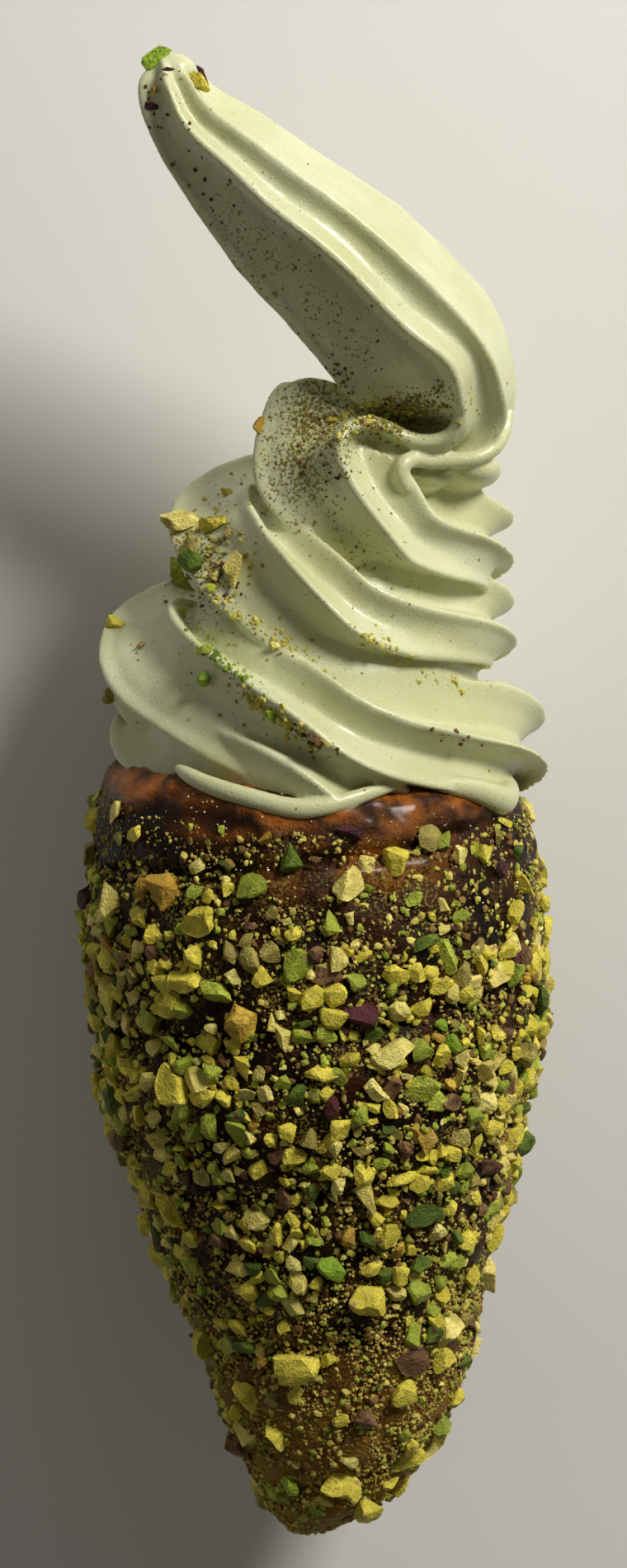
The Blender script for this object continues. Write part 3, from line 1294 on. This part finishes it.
def serve_material(settings):
    """Pale green soft serve with a frosty grain and olive dust where it has settled."""
    material, tree, shader = new_material(
        "soft_serve_cream", roughness=0.46, subsurface=0.3, radius=(1.0, 0.95, 0.7),
        scale=0.0012, coat=0.4, coat_roughness=0.24)
    deep = tuple(settings.shadow_colour)
    tones, _ = mottling(tree, *CREAM_TONES)
    grain, grain_height = mottling(tree, *CREAM_GRAIN)
    _, specks = mottling(tree, *DUST_SPECKS)
    colour = blended(tree, tones, deep, tuple(settings.colour))
    colour = blended(tree, grain, colour, tuple(c * GRAIN_DARKNESS for c in deep))
    amount = combined(tree, "MULTIPLY_ADD", stored(tree, "dust"), DUST_AMOUNT, specks)
    settled = ranged(tree, amount, *DUST_COVER)
    dusted = blended(tree, settled, colour, tuple(settings.dust_colour))
    feed(tree, shader.inputs["Base Color"], dusted)
    add_bump(tree, shader, grain_height, distance=0.00013, strength=0.8)
    return material


def dough_material(settings):
    """Dark caramelised crust, orange on the rim, dusted with fine nut powder."""
    material, tree, shader = new_material(
        "baked_dough", roughness=0.5, coat_roughness=0.22, specular=0.12)
    place = node(tree, "ShaderNodeTexCoord")
    split = node(tree, "ShaderNodeSeparateXYZ")
    feed(tree, split.inputs["Vector"], place.outputs["Object"])
    height = split.outputs["Y"]
    browning, _ = mottling(tree, *CRUST_BROWNING)
    rim_browning, _ = mottling(tree, *RIM_BROWNING)
    _, uneven = mottling(tree, *RIM_UNEVENNESS)
    dust, dust_height = mottling(tree, *CRUST_DUST)
    patches, _ = mottling(tree, *DUST_PATCHES)

    rim = ranged(tree, combined(tree, "MULTIPLY_ADD", uneven, RIM_SWAY, height), *ORANGE_RIM)
    orange = combined(tree, "MAXIMUM", rim, stored(tree, "tint"))
    gloss = combined(tree, "MULTIPLY", orange, CARAMEL_GLOSS)
    feed(tree, shader.inputs["Coat Weight"], gloss)
    crust_colour = tuple(settings.crust_colour)
    crust = blended(tree, browning, tuple(settings.dark_colour), crust_colour)
    caramel = blended(tree, rim_browning, crust_colour, tuple(settings.rim_colour))
    colour = blended(tree, orange, crust, caramel)

    foot = ranged(tree, height, *CRUST_FOOT)
    coated = combined(tree, "MAXIMUM", patches, foot)
    spread = combined(tree, "MULTIPLY", coated, ranged(tree, height, *DUST_ONSET))
    cover = combined(tree, "MULTIPLY", dust, spread)
    colour = blended(tree, foot, colour, tuple(settings.foot_colour))
    colour = blended(tree, cover, colour, tuple(settings.powder_colour))
    feed(tree, shader.inputs["Base Color"], colour)
    rough = node(tree, "ShaderNodeMapRange")
    rough.inputs["To Min"].default_value = CRUST_ROUGHNESS
    rough.inputs["To Max"].default_value = DUST_ROUGHNESS
    feed(tree, rough.inputs["Value"], cover)
    feed(tree, shader.inputs["Roughness"], rough.outputs["Result"])
    add_bump(tree, shader, dust_height, distance=0.0005, strength=0.9)
    return material


def nut_material(name, light, deep, skin, skin_low):
    """Chopped kernel: each chip its own shade, with clinging powder and darker skin."""
    material, tree, shader = new_material(
        name, roughness=0.6, subsurface=0.12, radius=(1.0, 0.9, 0.4), scale=0.0005,
        specular=0.3)
    tones, _ = mottling(tree, *NUT_TONES)
    grain, grain_height = mottling(tree, *NUT_GRAIN)
    flecks, _ = mottling(tree, *SKIN_FLECKS, skin_low, skin_low + SKIN_EDGE)
    colour = blended(tree, stored(tree, "tint"), light, deep)
    colour = blended(tree, tones, colour, tuple(c * NUT_DARKNESS for c in deep))
    dull = tuple(POWDER_DULLNESS * ((a + b) / 2) for a, b in zip(light, deep))
    colour = blended(tree, grain, colour, dull)
    colour = blended(tree, flecks, colour, skin)
    feed(tree, shader.inputs["Base Color"], colour)
    add_bump(tree, shader, grain_height, distance=0.0004, strength=1.0)
    return material


def nut_kind_material(kind):
    """The material of a kind of nut, made once."""
    return bpy.data.materials.get(kind) or nut_material(kind, *KINDS[kind])


def powder_material(name, light, deep):
    """Fine crumbs, each its own shade."""
    material, tree, shader = new_material(name, roughness=0.8, specular=0.2)
    feed(tree, shader.inputs["Base Color"], blended(tree, stored(tree, "tint"), light, deep))
    return material


def sugar_material():
    """Clear grains of sugar that sparkle."""
    material, _, shader = new_material("sugar", roughness=0.12, specular=0.8)
    shader.inputs["Base Color"].default_value = SUGAR_COLOUR
    return material


# ---- Settings -------------------------------------------------------------------------

def colour_setting(name, description, default):
    """Colour property in linear values."""
    return bpy.props.FloatVectorProperty(
        name=name, description=description, subtype="COLOR", size=3, min=0, max=1, default=default)


class SwirlSettings(bpy.types.PropertyGroup):
    """Sizes and colours of the soft serve."""

    voxel: bpy.props.FloatProperty(
        name="Fineness", description="Grid size at which the coils melt together",
        default=0.00045, min=0.0003, max=0.003, unit="LENGTH")
    melt: bpy.props.IntProperty(
        name="Melt", description="How often the surface is eased", default=4, min=0, max=30)
    colour: colour_setting("Cream", "Colour of the soft serve", (0.655, 0.67, 0.425))
    shadow_colour: colour_setting("Deeper cream", "Deeper tone", (0.575, 0.585, 0.32))
    dust_colour: colour_setting("Dust", "Colour of the nut dust", (0.18, 0.15, 0.028))


class PastrySettings(bpy.types.PropertyGroup):
    """Sizes and colours of the pastry."""

    seam_depth: bpy.props.FloatProperty(
        name="Seam depth", description="Depth of the seam between two turns of dough",
        default=0.0013, min=0, max=0.004, unit="LENGTH")
    crust_lumps: bpy.props.FloatProperty(
        name="Crust lumps", description="Height of the lumps in the crust",
        default=0.00035, min=0, max=0.002, unit="LENGTH")
    dark_colour: colour_setting("Dark crust", "Colour of the darkest crust", (0.006, 0.002, 0.0006))
    crust_colour: colour_setting("Crust", "Colour of the crust", (0.036, 0.0105, 0.0016))
    rim_colour: colour_setting("Rim", "Colour of the baked rim", (0.36, 0.105, 0.008))
    foot_colour: colour_setting("Foot", "Colour of the crust near the tip", (0.28, 0.115, 0.014))
    powder_colour: colour_setting("Powder", "Colour of the nut powder", (0.26, 0.19, 0.035))


class NutSettings(bpy.types.PropertyGroup):
    """Amounts of the coating."""

    extra: bpy.props.IntProperty(
        name="Small nuts", description="Nuts too small for the solids", default=9000, min=0,
        max=12000)
    crumbs: bpy.props.IntProperty(
        name="Crumbs", description="Crumbs of each kind", default=3400, min=0, max=9000)
    sugar: bpy.props.IntProperty(
        name="Sugar", description="Sugar grains near the rim", default=1100, min=0, max=9000)
    powder: bpy.props.IntProperty(
        name="Powder", description="Grains of powder", default=22000, min=0, max=40000)
    foot_powder: bpy.props.IntProperty(
        name="Foot powder", description="More grains near the pastry's tip", default=11000, min=0,
        max=20000)


class StageSettings(bpy.types.PropertyGroup):
    """Light and camera."""

    key: bpy.props.FloatProperty(
        name="Key light", description="Power of the main light", default=9.9, min=0, max=200)
    fill: bpy.props.FloatProperty(
        name="Fill light", description="Power of the fill light", default=0.4, min=0, max=200)
    floor_colour: colour_setting("Floor", "Colour of the floor", (0.84, 0.83, 0.80))


# ---- Operators ------------------------------------------------------------------------

class OBJECT_OT_pastry(bpy.types.Operator):
    """Make the wound, baked pastry cone"""

    bl_idname = "cone.pastry"
    bl_label = "Pastry"

    def execute(self, context):
        settings = context.scene.cone_pastry
        rings = np.concatenate([np.linspace(*stretch) for stretch in PASTRY_RINGS])
        columns = np.linspace(0, 2 * math.pi, PASTRY_COLUMNS, endpoint=False)
        t, around = [grid.ravel() for grid in np.meshgrid(rings, columns, indexing="ij")]
        shell = pastry_points(t, around)
        relief = crust_relief(
            shell, t, around, settings.seam_depth / MM, settings.crust_lumps / MM)
        _, slope = along(PASTRY_PROFILE, t)
        out_r, out_h = profile_way(slope)
        shell[:, 0] += out_r * np.cos(around) * relief
        shell[:, 1] += out_h * relief
        shell[:, 2] -= out_r * np.sin(around) * relief
        shell[:, 2] = np.maximum(shell[:, 2], -LYING_HEIGHT)
        caramel = np.zeros(len(shell))
        for x, y, wide, high, amount in CARAMEL_PATCHES:
            near = bump(shell[:, 0], x, wide) * bump(shell[:, 1], y, high)
            caramel = np.maximum(caramel, amount * near * (shell[:, 2] > 0))
        faces = [face[::-1] for face in capped_faces(len(rings), PASTRY_COLUMNS)]
        pastry = new_piece("pastry_shell", shell, faces, caramel)
        shade_smooth(pastry)
        pastry.data.materials.append(dough_material(settings))
        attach(pastry, "root")
        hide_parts("pastry_cone")
        return {"FINISHED"}


class OBJECT_OT_coating(bpy.types.Operator):
    """Roll the pastry in chopped pistachio"""

    bl_idname = "cone.coating"
    bl_label = "Nut coating"

    def execute(self, context):
        settings = context.scene.cone_nuts
        rng = np.random.default_rng(COATING_SEED)
        at, normals, lengths = coating_nuts()
        more_at, more_normals = scattered(settings.extra, SMALL_NUT_SEED)
        more_lengths = random_lengths(rng, len(more_at), SMALL_SIZES)
        thick = thickness(rng, more_at, SMALL_PATCHES)
        thin_rim = change(more_at, RIM_THINNING) + BARE_THINNING * bare_share(more_at)
        kept = thick > COATING_LEVEL + thin_rim + change(more_at, TIP_THINNING)
        kept &= (more_at[:, 1] < SMALL_TOP) & above_floor(more_at, SMALL_CLEARANCE)
        more_at, more_normals, more_lengths = more_at[kept], more_normals[kept], more_lengths[kept]
        chosen = fitting_between(at, lengths, more_at, more_lengths)
        large_kind = rng.choice(len(KINDS), len(at), p=KIND_SHARES)
        small_kind = rng.choice(len(KINDS), len(chosen), p=KIND_SHARES)
        tree = surface_of("pastry_shell")
        for index, kind in enumerate(KINDS):
            large = large_kind == index
            small = chosen[small_kind == index]
            seed = CHIP_SEED + KIND_SEED_STEP * index
            batches = [
                chips(kind, at[large], normals[large], lengths[large], NUT_SINK, LARGE_CHIP, seed),
                chips(kind, more_at[small], more_normals[small], more_lengths[small],
                      SMALL_SINK, SMALL_CHIP, seed + 1),
            ]
            bits = [bit for bit in SKIN_BITS if bit[-1] == kind]
            if bits:
                batches.append(laid_chips(kind, laid_on(tree, bits), SKIN_BIT_SEED + index))
            piece = joined(kind, batches)
            shade_smooth(piece, False)
            piece.data.materials.append(nut_kind_material(kind))
            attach(piece, "root")
            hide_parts("pastry_cone")
        return {"FINISHED"}


class OBJECT_OT_crumbs(bpy.types.Operator):
    """Cover the pastry in fine crumbs and powder"""

    bl_idname = "cone.crumbs"
    bl_label = "Crumbs and powder"

    def execute(self, context):
        settings = context.scene.cone_nuts
        rng = np.random.default_rng(CRUMB_SEED)
        pieces = []
        for index, (name, light, deep) in enumerate(CRUMBS):
            at, normals = scattered(settings.crumbs, CRUMB_PLACE_SEED + index)
            lengths = random_lengths(rng, len(at), CRUMB_SIZES)
            thick = thickness(rng, at, CRUMB_PATCHES)
            level = COATING_LEVEL + change(at, CRUMB_RIM) + CRUMB_BARE * bare_share(at)
            kept = (thick > level - change(at, FINE_TIP)) & above_floor(at, CRUMB_CLEARANCE)
            piece = chips(name, at[kept], normals[kept], lengths[kept], CRUMB_STAND, CRUMB_CHIP,
                          CRUMB_CHIP_SEED + index)
            piece.data.materials.append(powder_material(name, light, deep))
            pieces.append(piece)

        at, normals = scattered(settings.powder, POWDER_PLACE_SEED)
        lengths = random_lengths(rng, len(at), POWDER_SIZES)
        thick = thickness(rng, at, POWDER_PATCHES)
        kept = thick > COATING_LEVEL - change(at, FINE_TIP)
        kept &= above_floor(at, GRAIN_CLEARANCE)
        powder = grains("nut_powder", at[kept], normals[kept], lengths[kept], POWDER_SEED)
        powder.data.materials.append(powder_material("nut_powder", *POWDER_COLOURS))

        at, normals = scattered(settings.foot_powder, FOOT_PLACE_SEED, FOOT_STRETCH)
        kept = smooth(*FOOT_RISE, at[:, 1]) > rng.uniform(0, 1, len(at))
        kept &= above_floor(at, GRAIN_CLEARANCE)
        lengths = rng.uniform(*FOOT_SIZES, kept.sum())
        foot_powder = grains("foot_powder", at[kept], normals[kept], lengths, FOOT_SEED)
        foot_powder.data.materials.append(powder_material("foot_powder", *FOOT_POWDER_COLOURS))

        at, normals = scattered(settings.sugar, SUGAR_PLACE_SEED, SUGAR_STRETCH)
        kept = at[:, 2] > SUGAR_LOWEST
        lengths = rng.uniform(*SUGAR_SIZES, kept.sum())
        crystals = grains("sugar", at[kept], normals[kept], lengths, SUGAR_SEED)
        crystals.data.materials.append(sugar_material())
        for piece in (*pieces, powder, foot_powder, crystals):
            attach(piece, "root")
            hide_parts("pastry_cone")
        return {"FINISHED"}


class OBJECT_OT_soft_serve(bpy.types.Operator):
    """Make the star-ridged swirl of soft serve"""

    bl_idname = "cone.soft_serve"
    bl_label = "Soft serve"

    def execute(self, context):
        settings = context.scene.cone_swirl
        points, faces = rope_mesh()
        extras = [drum_mesh(PLUG), drum_mesh(CORE), lip_mesh(LEFT_LIP), lip_mesh(RIGHT_LIP),
                  bead_mesh(UPPER_BEAD), bead_mesh(LOWER_BEAD)]
        extras += [filling_mesh(middle, reach) for middle, reach in FILLINGS]
        for more, more_faces in extras:
            faces += [tuple(i + len(points) for i in f) for f in more_faces]
            points = np.vstack([points, more])
        swirl = new_piece("soft_serve_swirl", points, faces)
        melt = swirl.modifiers.new("Join", "REMESH")
        melt.mode = "VOXEL"
        melt.voxel_size = settings.voxel
        melt.use_smooth_shade = True
        ease = swirl.modifiers.new("Ease", "SMOOTH")
        ease.factor = SWIRL_EASE
        ease.iterations = settings.melt
        thin = swirl.modifiers.new("Thin", "DECIMATE")
        thin.ratio = SWIRL_THINNING
        baked(swirl)
        shade_smooth(swirl)
        settled_dust(swirl)
        swirl.data.materials.clear()
        swirl.data.materials.append(serve_material(settings))
        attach(swirl, "root")
        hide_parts("soft_serve")
        return {"FINISHED"}


class OBJECT_OT_swirl_bits(bpy.types.Operator):
    """Strew nuts, crumbs and dust on the soft serve"""

    bl_idname = "cone.swirl_bits"
    bl_label = "Bits on the swirl"

    def execute(self, context):
        tree = surface_of("soft_serve_swirl")
        for index, kind in enumerate(KINDS):
            rows = laid_on(tree, [bit for bit in SWIRL_BITS if bit[-1] == kind])
            for x, y, z, length, width, height, degrees, tip_kind in TIP_BITS:
                if tip_kind == kind:
                    out = np.array([0.0, 0.0, 1.0])
                    rows.append((np.array([x, y, z]), out, (length, width, height), degrees))
            if not rows:
                continue
            piece = laid_chips(f"{kind}_on_swirl", rows, SWIRL_BIT_SEED + index)
            piece.data.materials.append(nut_kind_material(kind))
            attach(piece, "root")
            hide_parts("soft_serve")
        drifts = drifted_dust(tree, np.random.default_rng(DRIFT_SEED))
        for index, (kind, (at, normals, lengths)) in enumerate(drifts.items()):
            piece = chips(kind, at, normals, lengths, DUST_STAND, CRUMB_CHIP, DUST_SEED + index)
            piece.data.materials.append(powder_material(kind, *DUST_COLOURS[kind]))
            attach(piece, "root")
            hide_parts("soft_serve")
        return {"FINISHED"}


def area_light(name, place, aim, size, power, colour):
    """Soft round light at a place in millimetres, facing a point, size in metres."""
    light = bpy.data.lights.new(name, "AREA")
    light.shape = "DISK"
    light.size = size
    light.energy = power
    light.color = colour
    lamp = bpy.data.objects.new(name, light)
    bpy.context.scene.collection.objects.link(lamp)
    lamp.location = Vector(place) * MM
    lamp.rotation_mode = "QUATERNION"
    lamp.rotation_quaternion = (Vector(aim) - Vector(place)).to_track_quat("-Z", "Y")


class SCENE_OT_stage(bpy.types.Operator):
    """Lay the floor and set the lights and the camera"""

    bl_idname = "cone.stage"
    bl_label = "Stage"

    def execute(self, context):
        settings = context.scene.cone_stage
        scene = context.scene
        corners = [(-1, -1), (1, -1), (1, 1), (-1, 1)]
        level = -LYING_HEIGHT - FLOOR_GAP
        points = np.array([(x * FLOOR_HALF, y * FLOOR_HALF, level) for x, y in corners])
        floor = new_piece("floor", points, np.array([[0, 1, 2, 3]]))
        material, _, shader = new_material("floor_pale", roughness=0.8, specular=0.2)
        shader.inputs["Base Color"].default_value = (*settings.floor_colour, 1)
        floor.data.materials.append(material)

        world = bpy.data.worlds.new("studio")
        scene.world = world
        world.use_nodes = True
        back = world.node_tree.nodes["Background"]
        back.inputs["Color"].default_value = ROOM_COLOUR
        back.inputs["Strength"].default_value = ROOM_STRENGTH
        for name, place, size, power, colour in LIGHTS:
            area_light(name, FRAME_SHIFT + np.array(place), FRAME_SHIFT, size,
                       getattr(settings, power), colour)

        camera = bpy.data.cameras.new("camera")
        camera.lens = LENS
        camera.sensor_width = SENSOR_WIDTH
        camera.clip_start, camera.clip_end = CLIP_RANGE
        eye = bpy.data.objects.new("camera", camera)
        scene.collection.objects.link(eye)
        eye.location = Vector((FRAME_SHIFT + EYE) * MM)
        eye.rotation_euler = (-EYE_ELEVATION, 0, 0)
        scene.camera = eye
        scene.view_settings.view_transform = "Standard"
        return {"FINISHED"}


class VIEW3D_PT_cone(bpy.types.Panel):
    """Sidebar list of the cone's pieces"""

    bl_label = "Chimney cake cone"
    bl_idname = "VIEW3D_PT_cone"
    bl_space_type = "VIEW_3D"
    bl_region_type = "UI"
    bl_category = "Cone"

    def draw(self, context):
        layout = self.layout
        scene = context.scene
        for settings, operators in (
                (scene.cone_swirl, ("cone.soft_serve", "cone.swirl_bits")),
                (scene.cone_pastry, ("cone.pastry",)),
                (scene.cone_nuts, ("cone.coating", "cone.crumbs")),
                (scene.cone_stage, ("cone.stage",))):
            box = layout.box()
            for key in settings.__annotations__:
                box.prop(settings, key)
            for name in operators:
                box.operator(name)


SETTINGS = {
    "cone_swirl": SwirlSettings,
    "cone_pastry": PastrySettings,
    "cone_nuts": NutSettings,
    "cone_stage": StageSettings,
}
CLASSES = (
    *SETTINGS.values(), OBJECT_OT_soft_serve, OBJECT_OT_pastry, OBJECT_OT_coating,
    OBJECT_OT_crumbs, OBJECT_OT_swirl_bits, SCENE_OT_stage, VIEW3D_PT_cone,
)


def register():
    """Make the settings, operators and panel known."""
    for kind in CLASSES:
        bpy.utils.register_class(kind)
    for name, kind in SETTINGS.items():
        setattr(bpy.types.Scene, name, bpy.props.PointerProperty(type=kind))


def unregister():
    """Take them away again."""
    for name in SETTINGS:
        delattr(bpy.types.Scene, name)
    for kind in reversed(CLASSES):
        bpy.utils.unregister_class(kind)


def main():
    """Build the cone's looks in order."""
    register()
    bpy.ops.cone.pastry()
    bpy.ops.cone.coating()
    bpy.ops.cone.crumbs()
    bpy.ops.cone.soft_serve()
    bpy.ops.cone.swirl_bits()
    bpy.ops.cone.stage()


if __name__ == "__main__":
    main()
